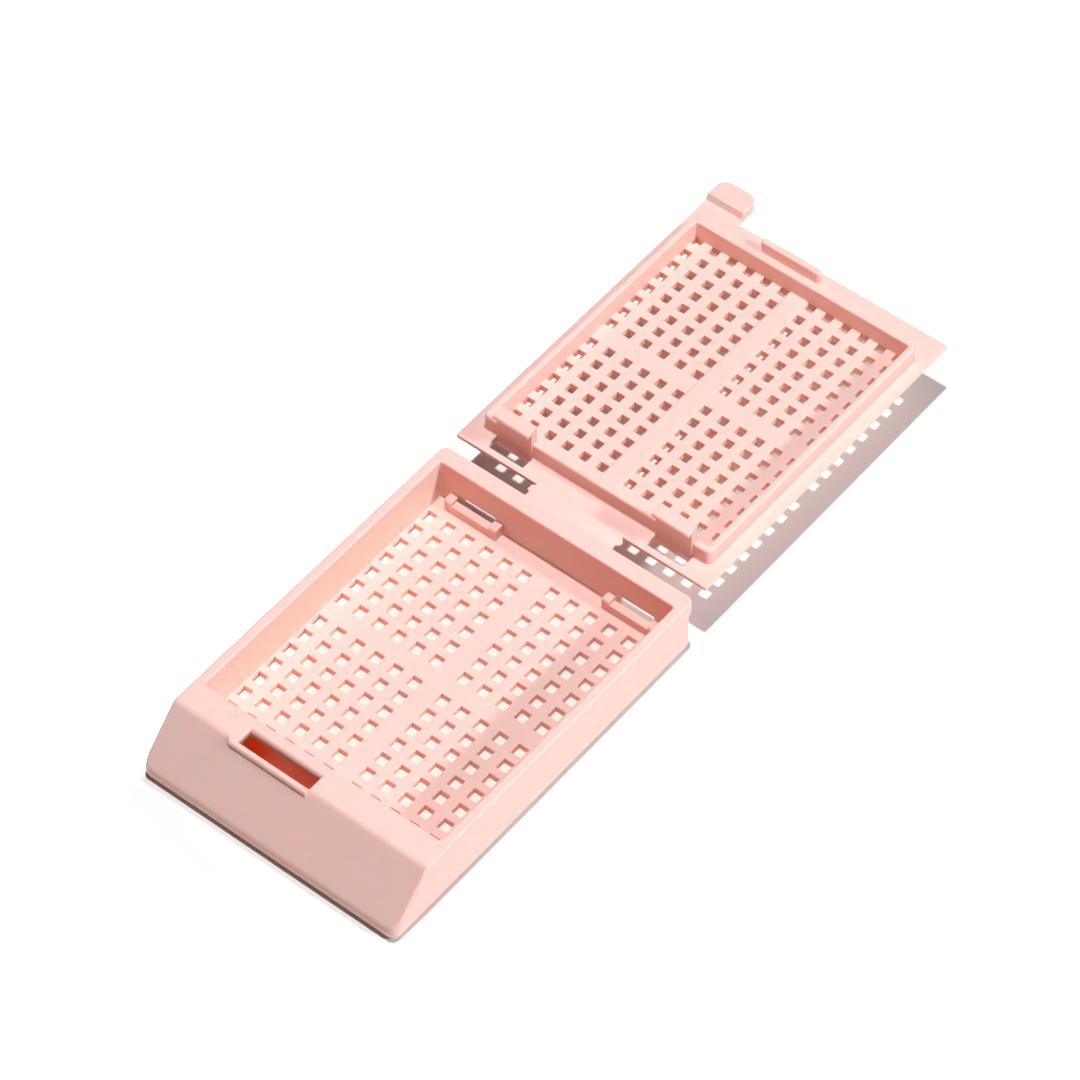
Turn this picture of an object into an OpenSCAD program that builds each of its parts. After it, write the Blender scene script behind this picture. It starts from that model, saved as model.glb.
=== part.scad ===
// Tissue cassette, moulded in one shot and lying open: tray, lid and the film hinge that joins them.
// Millimetres. X runs across, Y runs from the writing face to the lid's pull tab, Z is up from the table.
// Closed, the lid has turned half a turn about the hinge line, so every lid feature that meets the tray
// is placed by mirroring the tray's own feature about that line and taking off a named clearance.

/* [Tray] */
// Width over the side walls
tray_width = 28.8; // [24:0.1:36]
// Length from the front lip to the back of the rear rim
tray_length = 41.9; // [34:0.1:56]
// Height of the rim above the table
tray_height = 6.2; // [5.6:0.1:9]
// Thickness of each side wall
side_wall = 1.01; // [0.7:0.01:1.3]
// Radius of the tray's upright outer corners
corner_radius = 0.8; // [0.4:0.1:1.6]
// Radius of the chamber's upright inner corners
chamber_radius = 0.5; // [0.2:0.1:1]

/* [Rear wall] */
// Depth of the rear rim, front to back
rear_rim = 1.83; // [1.6:0.01:2.6]
// Thickness of the rear wall under the rim
rear_wall = 0.95; // [0.7:0.01:1.4]
// Height of the rim's overhanging lip
rim_lip = 1.5; // [0.9:0.1:2]

/* [Writing face] */
// Slope of the writing face from the table
face_angle = 45.9; // [40:0.1:60]
// Height of the upright lip below the writing face
front_lip = 1.4; // [0.8:0.1:2]
// Radius of the soft bends above and below the writing face
face_round = 1; // [0.3:0.1:1.5]
// Thickness of the writing face
face_wall = 0.95; // [0.7:0.01:1.3]
// Depth of the flat ledge behind the writing face
ledge_depth = 2.91; // [2.7:0.01:4]
// Thickness of the ledge
ledge_wall = 0.85; // [0.6:0.01:1.2]
// Thickness of the wall between the chamber and the hollow under the writing face
front_wall = 0.9; // [0.7:0.01:1.2]

/* [Tray floor] */
// Height of the floor's upper side above the table
floor_height = 1.35; // [1.2:0.05:2]
// Thickness of the floor
floor_wall = 0.65; // [0.6:0.05:1.2]
// Size of a floor hole, across
floor_hole_x = 1.1; // [0.6:0.05:1.3]
// Size of a floor hole, front to back
floor_hole_y = 1.2; // [0.6:0.05:1.3]
// Spacing of the floor holes, across
floor_pitch_x = 2.213; // [1.9:0.001:3]
// Spacing of the floor holes, front to back
floor_pitch_y = 2.0565; // [1.9:0.0001:3]
// Width of the plain rib along the middle of the floor
floor_rib_x = 2.134; // [1:0.001:3]
// Width of the plain rib across the middle of the floor
floor_rib_y = 1.93; // [1:0.01:3]
// Distance of the cross rib in front of the chamber's middle
floor_rib_set = 0.285; // [0:0.005:0.6]
// Least plain floor beside the outer holes
floor_edge_x = 0.1; // [0.05:0.01:1]
// Least plain floor in front of the holes
floor_edge_front = 1.2; // [0.3:0.1:2]
// Least plain floor behind the holes, which clears the hook pockets
floor_edge_rear = 1.9; // [1.6:0.1:3]

/* [Hooks and their pockets] */
// Width of each hook
hook_width = 4.1; // [3:0.1:5]
// Distance of each hook's middle from the cassette's middle
hook_place = 9.15; // [8.4:0.05:10]
// Thickness of the hook's upright blade
hook_blade = 0.6; // [0.4:0.05:0.8]
// Distance that the closed hook's head reaches into the rear wall
hook_bite = 0.22; // [0.1:0.01:0.3]
// Height of the catch under the hook's head, above the lid's flange
hook_catch = 3.45; // [3.2:0.05:4]
// Thickness of the hook's head at its tip
hook_tip = 0.1; // [0.05:0.05:0.2]
// Thickness of the hook's head at its back
hook_head = 0.35; // [0.2:0.05:0.4]
// Plain flange between the lid's hinge edge and the slot in front of each hook
hook_land = 0.69; // [0.4:0.01:0.9]
// Clearance on each side of a hook in its pocket
hook_side_gap = 0.1; // [0.05:0.01:0.3]
// Clearance of the closed catch below the top of its window
hook_catch_gap = 0.15; // [0.1:0.01:0.3]
// Clearance of the closed hook above the pocket's bar
hook_end_gap = 0.1; // [0.05:0.01:0.3]
// Depth of the pocket's slot in the floor, in front of the rear wall
pocket_slot = 0.5; // [0.3:0.05:0.8]
// Thickness of the low bar in front of the pocket
pocket_bar = 0.6; // [0.4:0.05:0.8]
// Width of the post at each end of the pocket
post_width = 0.9; // [0.5:0.05:1]
// Height of the posts above the pocket's bar
post_rise = 0.35; // [0.1:0.05:0.6]

/* [Latch] */
// Distance of the latch slot's middle to the left of the cassette's middle
latch_place = 2.95; // [0:0.05:5]
// Width of the latch slot
latch_slot = 8.1; // [5:0.1:12]
// Plain ledge between the chamber and the latch slot
latch_land = 1.31; // [1:0.01:1.5]
// Distance that the lip in front of the slot stands out from the ledge
latch_lip = 0.6; // [0.4:0.05:0.9]
// Width of the lip beyond the slot's left end
latch_lip_end = 0.9; // [0.4:0.1:1.5]
// Thickness of the latch bar on the lid
latch_bar = 0.75; // [0.5:0.05:0.9]
// Height of the latch bar above the lid's flange
latch_bar_height = 1.3; // [0.8:0.1:1.4]
// Clearance at each end of the closed latch bar in its slot
latch_end_gap = 0.6; // [0.2:0.05:1]
// Clearance between the closed latch bar and the slot's rear edge
latch_gap = 0.1; // [0.05:0.01:0.2]

/* [Film hinge] */
// Distance from the rear rim to the hinge line
hinge_set = 0.59; // [0.5:0.01:1]
// Width of the hinge strap
strap_width = 10; // [6:0.1:12]
// Thickness of the strap on each side of the film
strap_wall = 0.45; // [0.35:0.05:0.6]
// Length of the thin film along the strap
film_length = 0.6; // [0.4:0.05:0.8]
// Thickness of the film
film_wall = 0.25; // [0.15:0.01:0.3]
// Distance that the film stands out past each end of the strap
film_overhang = 0.3; // [0:0.05:0.4]

/* [Lid] */
// Thickness of the lid's middle panel, inside the frame
lid_wall = 0.95; // [0.55:0.05:1]
// Thickness of the lid's flange, round the frame
flange_wall = 0.45; // [0.35:0.05:0.55]
// Clearance between the closed lid and the tray's rim
lid_seat_gap = 0.05; // [0.02:0.01:0.1]
// Distance of the closed lid's sides inside the tray's sides
lid_side_set = 0.04; // [0:0.01:0.5]
// Distance of the closed lid's hinge edge inside the rear rim
lid_rear_set = 0.4; // [0.3:0.01:0.7]
// Distance of the closed lid's far edge behind the writing face
lid_front_set = 0.08; // [0.04:0.01:0.5]

/* [Lid frame] */
// Height of the raised frame above the flange
frame_height = 1.75; // [1:0.05:2.5]
// Thickness of the raised frame along the sides and the hinge side
frame_wall = 0.91; // [0.6:0.01:1.1]
// Thickness of the raised frame on the far side
frame_far_wall = 0.68; // [0.6:0.01:1.1]
// Radius of the frame's outer corners
frame_radius = 0.9; // [0.3:0.1:1.2]
// Clearance between the closed frame and each side wall
frame_side_gap = 0.31; // [0.2:0.01:0.8]
// Clearance between the closed frame and the rear wall
frame_rear_gap = 0.61; // [0.5:0.01:0.7]
// Clearance between the closed frame and the chamber's front wall
frame_front_gap = 0.22; // [0.2:0.01:0.8]

/* [Lid grid] */
// Depth of the grid below the flange
grid_drop = 0.13; // [0:0.01:0.25]
// Size of a lid hole, both ways
lid_hole = 1; // [0.6:0.05:1.2]
// Spacing of the lid holes, across
lid_pitch_x = 2.014; // [1.8:0.001:3]
// Spacing of the lid holes, front to back
lid_pitch_y = 1.868; // [1.8:0.001:3]
// Gap between the holes along the middle of the lid
lid_rib_x = 2.22; // [1:0.01:3]
// Width of the raised rib along the middle of the lid
lid_rib_raised = 1.9; // [0.8:0.05:2.2]
// Gap between the holes across the middle of the lid
lid_rib_y = 1.99; // [1:0.01:3]
// Least visible part of a hole that the frame cuts short
lid_hole_part = 0.5; // [0.4:0.05:0.6]

/* [Pull tab] */
// Width of the pull tab
tab_width = 4.3; // [3:0.1:8]
// Distance that the tab stands out from the lid's far edge
tab_length = 3.4; // [2.6:0.1:5]
// Height of the tab's step above the flange
tab_rise = 0.7; // [0.3:0.05:0.8]
// Length of the tab's sloping step
tab_ramp = 0.3; // [0.1:0.05:0.6]
// Radius of the tab's far corners
tab_radius = 1.2; // [0.4:0.1:1.4]
// Clearance between the closed tab and the writing face
tab_gap = 0.2; // [0.03:0.01:0.4]

/* [Hidden] */
$fn = 48;
cut = 1;

// Tray, measured from its own rear inner wall
face_run = (tray_height - front_lip) / tan(face_angle);
chamber_length = tray_length - rear_rim - ledge_depth - face_run;
chamber_half = tray_width / 2 - side_wall;
ledge_front = -chamber_length - ledge_depth;
tray_front = rear_rim - tray_length;
slot_rear = -chamber_length - latch_land;

// Heights from the table
hinge_z = tray_height + lid_seat_gap / 2;
bar_top = tray_height + lid_seat_gap - hook_catch - hook_head - hook_end_gap;
post_top = bar_top + post_rise;
window_top = tray_height + lid_seat_gap - hook_catch + hook_catch_gap;

// Lid, mirrored about the hinge line
hinge_y = rear_rim + hinge_set;
lid_near = hinge_y + hinge_set + lid_rear_set;
lid_far = hinge_y + (hinge_y - ledge_front) - lid_front_set;
lid_half = tray_width / 2 - lid_side_set;
frame_near = 2 * hinge_y + frame_rear_gap;
frame_far = hinge_y + (hinge_y + chamber_length) - frame_front_gap;
frame_half = chamber_half - frame_side_gap;
frame_in_half = frame_half - frame_wall;
frame_in_near = frame_near + frame_wall;
frame_in_far = frame_far - frame_far_wall;
hook_reach = frame_rear_gap + hook_bite;
latch_near = hinge_y + (hinge_y - slot_rear) + latch_gap;
latch_bar_width = latch_slot - 2 * latch_end_gap;
pocket_width = hook_width + 2 * hook_side_gap;
tab_foot = hinge_y + (hinge_y - ledge_front) + (tab_rise - lid_seat_gap) / tan(face_angle) + tab_gap - tab_ramp;
tab_end = lid_far + tab_length;

// The origin is the middle of the open cassette's box, on the table
middle_y = (tray_front + tab_end) / 2;

// How many holes of a size and pitch start within a length
function hole_count(length, hole, pitch) = floor((length - hole) / pitch + 0.001) + 1;

// A rectangle from corner to corner with four round corners
module rounded_plan(x0, x1, y0, y1, r) {
    translate([x0 + r, y0]) square([x1 - x0 - 2 * r, y1 - y0]);
    translate([x0, y0 + r]) square([x1 - x0, y1 - y0 - 2 * r]);
    for (x = [x0 + r, x1 - r], y = [y0 + r, y1 - r])
        translate([x, y]) circle(r);
}

module rounded_block(x0, x1, y0, y1, z0, z1, r) {
    translate([0, 0, z0])
        linear_extrude(z1 - z0)
            rounded_plan(x0, x1, y0, y1, r);
}

module block(x0, x1, y0, y1, z0, z1) {
    translate([x0, y0, z0]) cube([x1 - x0, y1 - y0, z1 - z0]);
}

// A side profile of [y, z] points, drawn out across the cassette
module across(x0, x1, points) {
    translate([x0, 0, 0])
        rotate([90, 0, 90])
            linear_extrude(x1 - x0)
                polygon(points);
}

// Points [y, z] of an arc, from angle a to angle b about a centre
function arc(y, z, r, a, b, steps = 8) = [
    for (k = [0 : steps]) let (t = a + (b - a) * k / steps) [y + r * cos(t), z + r * sin(t)]
];

// One of a pair, at each side of the cassette
module both_sides() {
    children();
    mirror([1, 0, 0]) children();
}

// Square holes in columns out from the middle rib, and in rows away from y along the given way
module hole_panel(first_x, first_y, way, size_x, size_y, pitch_x, pitch_y, columns, rows, z0, z1) {
    for (c = [0 : columns - 1], r = [0 : rows - 1]) {
        x = first_x + c * pitch_x;
        y = first_y + way * (r * pitch_y + size_y / 2);
        block(x, x + size_x, y - size_y / 2, y + size_y / 2, z0, z1);
    }
}

// ---- Tray ----

module tray_shell() {
    face_normal = 90 + face_angle;
    lower_tangent = face_round * tan(45 - face_angle / 2);
    upper_tangent = face_round * tan(face_angle / 2);
    intersection() {
        rounded_block(-tray_width / 2, tray_width / 2, tray_front, rear_rim, 0, tray_height, corner_radius);
        across(-tray_width / 2, tray_width / 2, concat(
            [
                [tray_front, 0],
                [rear_wall, 0],
                [rear_wall, tray_height - rim_lip],
                [rear_rim, tray_height - rim_lip],
                [rear_rim, tray_height]
            ],
            arc(ledge_front + upper_tangent, tray_height - face_round, face_round, 90, face_normal),
            arc(tray_front + face_round, front_lip - lower_tangent, face_round, face_normal, 180)
        ));
    }
}

module chamber() {
    rounded_block(-chamber_half, chamber_half, -chamber_length, 0, floor_height, tray_height + cut,
        chamber_radius);
    block(-chamber_half, chamber_half, -chamber_length, 0, -cut, floor_height - floor_wall);
}

// The hollow under the ledge and the writing face, open at the table
module wedge_hollow() {
    rear = -chamber_length - front_wall;
    top = tray_height - ledge_wall;
    face_in_run = face_wall / sin(face_angle);
    top_front = ledge_front + face_in_run - ledge_wall / tan(face_angle);
    lip_in = tray_front + face_wall;
    lip_in_z = front_lip - (face_in_run - face_wall) * tan(face_angle);
    across(-chamber_half, chamber_half, [
        [rear, -cut],
        [rear, top],
        [top_front, top],
        [lip_in, lip_in_z],
        [lip_in, -cut]
    ]);
}

module floor_holes() {
    rib_y = -chamber_length / 2 - floor_rib_set;
    front_panel = chamber_length + rib_y - floor_rib_y / 2;
    rear_panel = -rib_y - floor_rib_y / 2;
    columns = hole_count(chamber_half - floor_rib_x / 2 - floor_edge_x, floor_hole_x, floor_pitch_x);
    front_rows = hole_count(front_panel - floor_edge_front, floor_hole_y, floor_pitch_y);
    rear_rows = hole_count(rear_panel - floor_edge_rear, floor_hole_y, floor_pitch_y);
    both_sides() {
        hole_panel(floor_rib_x / 2, rib_y + floor_rib_y / 2, 1, floor_hole_x, floor_hole_y,
            floor_pitch_x, floor_pitch_y, columns, rear_rows, 0, floor_height + cut);
        hole_panel(floor_rib_x / 2, rib_y - floor_rib_y / 2, -1, floor_hole_x, floor_hole_y,
            floor_pitch_x, floor_pitch_y, columns, front_rows, 0, floor_height + cut);
    }
}

// A low bar and two posts at the foot of the rear wall, round a slot that runs back under it
module pocket_posts() {
    out = pocket_width / 2 + post_width;
    front = -pocket_slot - pocket_bar;
    low = floor_height - floor_wall / 2;
    block(hook_place - out, hook_place + out, front, -pocket_slot, low, bar_top);
    for (side = [-1, 1]) {
        x = hook_place + side * (pocket_width + post_width) / 2;
        block(x - post_width / 2, x + post_width / 2, front, rear_wall / 2, low, post_top - pocket_bar / 2);
        block(x - post_width / 2, x + post_width / 2, front + pocket_bar / 2, rear_wall / 2, low, post_top);
        translate([x - post_width / 2, front + pocket_bar / 2, post_top - pocket_bar / 2])
            rotate([0, 90, 0]) cylinder(r = pocket_bar / 2, h = post_width);
    }
}

module pocket_window() {
    left = hook_place - pocket_width / 2;
    right = hook_place + pocket_width / 2;
    block(left, right, -pocket_slot, rear_rim + cut, -cut, floor_height);
    block(left, right, -pocket_slot, rear_rim + cut, floor_height - floor_wall, window_top);
}

module latch_opening() {
    left = -latch_place - latch_slot / 2;
    block(left, left + latch_slot, ledge_front, slot_rear, tray_height - ledge_wall - cut / 2,
        tray_height + cut);
}

// The lip stands out in front of the slot, falls steeply to the writing face and wraps the slot's left end
module latch_lip_form() {
    left = -latch_place - latch_slot / 2 - latch_lip_end;
    right = -latch_place + latch_slot / 2;
    foot = 1.5 * latch_lip;
    across(left, right, [
        [ledge_front + face_wall / 2, tray_height],
        [ledge_front - latch_lip, tray_height],
        [ledge_front - foot, tray_height - foot * tan(face_angle)],
        [ledge_front + face_wall / 2, tray_height - foot * tan(face_angle)]
    ]);
}

module strap_half(y0, y1) {
    block(-strap_width / 2, strap_width / 2, y0, y1, tray_height - strap_wall, tray_height);
}

module base_tray() {
    color([0.99, 0.84, 0.79])
        translate([0, -middle_y, 0]) {
            difference() {
                union() {
                    difference() {
                        union() {
                            tray_shell();
                            latch_lip_form();
                        }
                        chamber();
                        wedge_hollow();
                        latch_opening();
                    }
                    both_sides() pocket_posts();
                }
                floor_holes();
                both_sides() pocket_window();
            }
            strap_half(rear_rim, hinge_y - film_length / 2);
        }
}

// ---- Hinge ----

module hinge_film() {
    color([0.99, 0.80, 0.74])
        translate([0, -middle_y, 0])
            block(-strap_width / 2 - film_overhang, strap_width / 2 + film_overhang,
                hinge_y - film_length / 2, hinge_y + film_length / 2,
                tray_height - film_wall, tray_height);
}

// ---- Lid ----

module lid_frame() {
    difference() {
        rounded_block(-frame_half, frame_half, frame_near, frame_far, tray_height - lid_wall,
            tray_height + frame_height, frame_radius);
        block(-frame_in_half, frame_in_half, frame_in_near, frame_in_far, tray_height - grid_drop,
            tray_height + frame_height + cut);
        lid_holes();
    }
}

module lid_holes() {
    rib_y = (frame_in_near + frame_in_far) / 2;
    near_panel = rib_y - lid_rib_y / 2 - frame_in_near;
    far_panel = frame_in_far - rib_y - lid_rib_y / 2;
    columns = hole_count(frame_in_half - lid_rib_x / 2, lid_hole_part, lid_pitch_x);
    near_rows = hole_count(near_panel, lid_hole_part, lid_pitch_y);
    far_rows = hole_count(far_panel, lid_hole_part, lid_pitch_y);
    intersection() {
        block(-frame_in_half, frame_in_half, frame_in_near, frame_in_far, 0, tray_height);
        both_sides() {
            hole_panel(lid_rib_x / 2, rib_y - lid_rib_y / 2, -1, lid_hole, lid_hole,
                lid_pitch_x, lid_pitch_y, columns, near_rows, 0, tray_height);
            hole_panel(lid_rib_x / 2, rib_y + lid_rib_y / 2, 1, lid_hole, lid_hole,
                lid_pitch_x, lid_pitch_y, columns, far_rows, 0, tray_height);
        }
    }
}

// The flange is a thin border round the frame, which it joins at half the frame's thickness
module flange() {
    difference() {
        block(-lid_half, lid_half, lid_near, lid_far, tray_height - flange_wall, tray_height);
        block(-frame_in_half - frame_wall / 2, frame_in_half + frame_wall / 2, frame_in_near - frame_wall / 2,
            frame_in_far + frame_far_wall / 2, 0, tray_height + cut);
        both_sides() flange_slot();
    }
}

module raised_rib() {
    block(-lid_rib_raised / 2, lid_rib_raised / 2, frame_in_near - frame_wall / 2,
        frame_in_far + frame_far_wall / 2, tray_height - lid_wall, tray_height);
}

// A slot right in front of each hook's foot
module flange_slot() {
    block(hook_place - hook_width / 2, hook_place + hook_width / 2, lid_near + hook_land, frame_near,
        0, tray_height + cut);
}

module hook() {
    across(hook_place - hook_width / 2, hook_place + hook_width / 2, [
        [frame_near, tray_height - lid_wall],
        [frame_near, tray_height + hook_catch],
        [frame_near - hook_reach, tray_height + hook_catch],
        [frame_near - hook_reach, tray_height + hook_catch + hook_tip],
        [frame_near + hook_blade / 2, tray_height + hook_catch + hook_head],
        [frame_near + hook_blade, tray_height + hook_catch + hook_head],
        [frame_near + hook_blade, tray_height - lid_wall]
    ]);
}

module latch_ridge() {
    left = -latch_place - latch_bar_width / 2;
    rounded_block(left, left + latch_bar_width, latch_near, latch_near + latch_bar,
        tray_height - flange_wall / 2, tray_height + latch_bar_height, latch_bar / 2 - 0.01);
}

module pull_tab() {
    left = -lid_half;
    right = left + tab_width;
    rise = tray_height + tab_rise;
    difference() {
        translate([0, 0, tray_height - flange_wall])
            linear_extrude(flange_wall + tab_rise) {
                translate([left, lid_far - tab_radius])
                    square([tab_width, tab_length]);
                rounded_plan(left, right, lid_far, tab_end, tab_radius);
            }
        across(left - cut, right + cut, [
            [lid_far - tab_radius - cut, tray_height],
            [tab_foot, tray_height],
            [tab_foot + tab_ramp, rise],
            [tab_foot + tab_ramp, rise + cut],
            [lid_far - tab_radius - cut, rise + cut]
        ]);
    }
}

module lid() {
    color([0.99, 0.82, 0.77])
        translate([0, -middle_y, 0]) {
            lid_frame();
            raised_rib();
            flange();
            pull_tab();
            both_sides() hook();
            latch_ridge();
            strap_half(hinge_y + film_length / 2, lid_near);
        }
}

base_tray();
lid();
hinge_film();
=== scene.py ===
import math

import bmesh
import bpy
from mathutils import Matrix, Vector


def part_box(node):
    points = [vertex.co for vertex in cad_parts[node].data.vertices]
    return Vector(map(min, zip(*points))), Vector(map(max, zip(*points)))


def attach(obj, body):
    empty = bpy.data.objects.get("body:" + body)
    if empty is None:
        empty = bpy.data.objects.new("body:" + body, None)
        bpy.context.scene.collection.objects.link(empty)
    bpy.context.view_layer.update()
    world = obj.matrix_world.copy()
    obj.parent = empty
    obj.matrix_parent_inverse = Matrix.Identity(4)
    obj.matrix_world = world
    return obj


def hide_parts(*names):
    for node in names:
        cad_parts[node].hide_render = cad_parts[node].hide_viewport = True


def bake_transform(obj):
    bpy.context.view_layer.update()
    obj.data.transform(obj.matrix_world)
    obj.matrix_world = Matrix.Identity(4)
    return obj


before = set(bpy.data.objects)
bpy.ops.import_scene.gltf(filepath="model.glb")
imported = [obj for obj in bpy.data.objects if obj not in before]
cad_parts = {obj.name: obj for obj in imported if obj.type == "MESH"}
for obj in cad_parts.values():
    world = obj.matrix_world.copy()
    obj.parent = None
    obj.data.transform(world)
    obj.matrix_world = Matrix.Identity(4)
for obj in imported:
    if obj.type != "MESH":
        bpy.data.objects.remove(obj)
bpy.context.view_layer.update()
mm = 0.001
trayLow, trayHigh = (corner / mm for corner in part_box("base_tray"))
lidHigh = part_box("lid")[1] / mm
filmLow, filmHigh = (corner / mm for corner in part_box("hinge_film"))
print("frame loaded, rim at", round(trayHigh.z, 2), "mm")

# Shapes are made in millimetres, with y counted from the tray's rear inner wall.
# place() then sets them in the frame.
shared = {
    "trayLength": 41.9,          # from the front foot to the end of the rear rim
    "rimDepth": 1.83,            # rear rim, front to back
    "cornerSteps": 5,            # facets of each upright corner
    "edgeSteps": 4,              # facets of each rounded edge
    "leastRound": 0.003,         # radius of a corner that looks sharp
    "sharp": 30,                 # degrees, from which soften() takes an edge
    "crease": 28,                # degrees, from which an edge is shaded as a corner
    "flush": 0.0005,             # keeps tops that run into each other from lying in one plane
    "over": 1,                   # how far a cutter runs past the face that it opens
    "across": 20,                # half the width of a cutter that runs right across
}
rearWallY = trayLow.y + shared["trayLength"] - shared["rimDepth"]
rim = trayHigh.z


def ring(x0, x1, y0, y1, radius, z, steps=None):
    # A level outline with four round corners
    steps = steps or shared["cornerSteps"]
    radius = max(radius, shared["leastRound"])
    points = []
    for cx, cy, start in ((x1 - radius, y0 + radius, -90), (x1 - radius, y1 - radius, 0),
                          (x0 + radius, y1 - radius, 90), (x0 + radius, y0 + radius, 180)):
        for k in range(steps + 1):
            angle = math.radians(start + 90 * k / steps)
            points.append((cx + radius * math.cos(angle), cy + radius * math.sin(angle), z))
    return points


def loft(rings):
    # A closed solid through outlines with the same number of points
    bm = bmesh.new()
    made = [[bm.verts.new(p) for p in points] for points in rings]
    count = len(made[0])
    for a, b in zip(made, made[1:]):
        for i in range(count):
            j = (i + 1) % count
            bm.faces.new((a[i], a[j], b[j], b[i]))
    bm.faces.new(made[0][::-1])
    bm.faces.new(made[-1])
    bmesh.ops.recalc_face_normals(bm, faces=bm.faces)
    return bm


def prism(profile, x0, x1):
    # A side profile of (y, z) points, drawn out across the cassette
    return loft([[(x, y, z) for y, z in profile] for x in (x0, x1)])


def box(x0, x1, y0, y1, z0, z1):
    return prism([(y0, z0), (y1, z0), (y1, z1), (y0, z1)], x0, x1)


def soften(bm, radius, pick=None, segments=3):
    # Rounds the picked edges, or every edge that is still sharp
    sharp = [e for e in bm.edges if e.calc_face_angle(0) > math.radians(shared["sharp"])]
    chosen = [e for e in sharp if pick is None or pick(e)]
    bmesh.ops.bevel(bm, geom=chosen, offset=radius, segments=segments, profile=0.5, affect="EDGES",
                    clamp_overlap=True)
    return bm


def quarterTurns(steps):
    # Angles from 0 to 90 degrees
    return [math.radians(90 * k / steps) for k in range(steps + 1)]


def quarter(radius, steps=None):
    # (height, inset) pairs of an edge rounding, from its upright side to its flat side
    turns = quarterTurns(steps or shared["edgeSteps"])
    return [(radius * math.sin(t), radius * (1 - math.cos(t))) for t in turns]


def arcPoints(y, z, radius, start, end, steps=5):
    # Points of an arc in a side profile, between two directions in degrees
    turns = [math.radians(start + (end - start) * k / steps) for k in range(steps + 1)]
    return [(y + radius * math.cos(t), z + radius * math.sin(t)) for t in turns]


def block(x0, x1, y0, y1, z0, z1, corner, top, bottom):
    # Upright block with round corners, its top and bottom edges rounded; a negative radius flares outwards
    levels = []
    for sign, base, radius in ((-1, z0, bottom), (1, z1, top)):
        steps = quarter(abs(radius)) if radius else [(0, 0)]
        inner = [(base - sign * (abs(radius) - h), math.copysign(inset, radius)) for h, inset in steps]
        levels += inner[::-1] if sign < 0 else inner
    return loft([ring(x0 + i, x1 - i, y0 + i, y1 - i, corner - i, z) for z, i in levels])


def well(x0, x1, y0, y1, z0, z1, corner, edge, fillet):
    # Cutter for a well: fillet round its foot, rounded edge round its mouth at z1
    foot = [(z0 + fillet - h, inset) for h, inset in quarter(fillet)][::-1] if fillet else [(z0, 0)]
    mouth = [(z1 - edge + h, -inset) for h, inset in quarter(edge)] + [(z1 + shared["over"], -edge)]
    return loft([ring(x0 + i, x1 - i, y0 + i, y1 - i, corner - i, z) for z, i in foot + mouth])


smallHole = {
    "corner": 0.07,
    "cornerSteps": 2,
    "rimSteps": 3,
    "above": 0.2,                # how far the cutter's top stands over the hole
}


def hole(x0, x1, y0, y1, z0, z1, soft, hard=(0, 0, 0, 0)):
    # Cutter for a small square hole with soft rims; hard sides (left, right, front, rear) stay straight
    lower = [(z0 - shared["over"], -soft / 2), (z0, -soft / 2), (z0 + soft / 2, 0)]
    upper = [(z1 - soft + h, -inset) for h, inset in quarter(soft, smallHole["rimSteps"])]
    upper.append((z1 + smallHole["above"], -soft))
    left, right, front, rear = (0 if h else 1 for h in hard)
    return loft([ring(x0 + i * left, x1 - i * right, y0 + i * front, y1 - i * rear, smallHole["corner"], z,
                      smallHole["cornerSteps"]) for z, i in lower + upper])


def asObject(name, bm):
    # The bmesh becomes a Blender object
    mesh = bpy.data.meshes.new(name)
    bm.to_mesh(mesh)
    bm.free()
    obj = bpy.data.objects.new(name, mesh)
    bpy.context.scene.collection.objects.link(obj)
    return obj


def joined(parts):
    # Several apart solids as one
    bm = bmesh.new()
    for part in parts:
        mesh = bpy.data.meshes.new("part")
        part.to_mesh(mesh)
        part.free()
        bm.from_mesh(mesh)
        bpy.data.meshes.remove(mesh)
    return bm


def bake(piece, tools=()):
    # Applies the modifiers, and removes the objects that they used
    depsgraph = bpy.context.evaluated_depsgraph_get()
    mesh = bpy.data.meshes.new_from_object(piece.evaluated_get(depsgraph))
    piece.modifiers.clear()
    piece.data = mesh
    for tool in tools:
        bpy.data.objects.remove(tool)
    return piece


def carve(name, body, steps):
    # Adds and cuts the other solids in turn, then keeps the result as one mesh
    piece = asObject(name, body)
    tools = []
    for operation, solid in steps:
        tool = asObject("tool", solid)
        modifier = piece.modifiers.new("step", "BOOLEAN")
        modifier.operation = operation
        modifier.object = tool
        modifier.solver = "MANIFOLD"
        tools.append(tool)
    return bake(piece, tools)


def place(piece):
    # Millimetres about the rear wall become metres in the frame
    piece.data.transform(Matrix.Scale(mm, 4) @ Matrix.Translation((0, rearWallY, 0)))
    return piece


def shade(piece):
    # Flats stay flat, roundings stay soft, and true corners stay sharp
    mesh = piece.data
    bm = bmesh.new()
    bm.from_mesh(mesh)
    for face in bm.faces:
        face.smooth = True
    for edge in bm.edges:
        edge.smooth = edge.calc_face_angle(0) < math.radians(shared["crease"])
    bm.to_mesh(mesh)
    bm.free()
    flats = piece.modifiers.new("flats", "WEIGHTED_NORMAL")
    flats.keep_sharp = True
    flats.weight = 100
    return bake(piece)


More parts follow.
